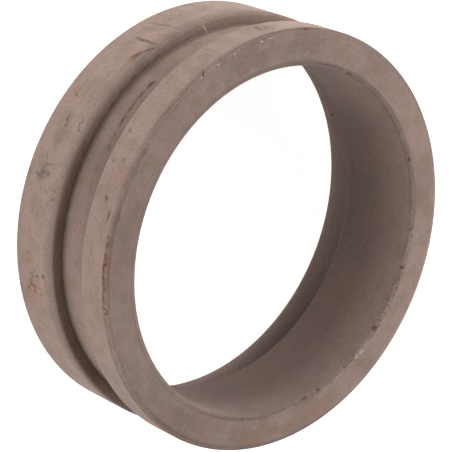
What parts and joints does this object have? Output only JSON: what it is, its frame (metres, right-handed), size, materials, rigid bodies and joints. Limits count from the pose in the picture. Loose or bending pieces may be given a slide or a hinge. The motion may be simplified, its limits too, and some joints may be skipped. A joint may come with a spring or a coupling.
{
  "type": "grooved steel bushing",
  "caption": "Short turned steel ring with a clamp groove round its outside and a bore that opens into a wider pipe seat at the back.",
  "frame": {"origin": "on the axis, at the foot of the back face that the ring stands on", "axes": "+Z along the axis, from the back face with the pipe seat to the front face with the narrow band"},
  "size_m": [0.148, 0.148, 0.0495],
  "materials": {
    "turned_steel": "bare turned steel, dull, with scratches and light rust"
  },
  "bodies": {
    "root": {"bushing": "turned_steel"}
  },
  "joints": []
}
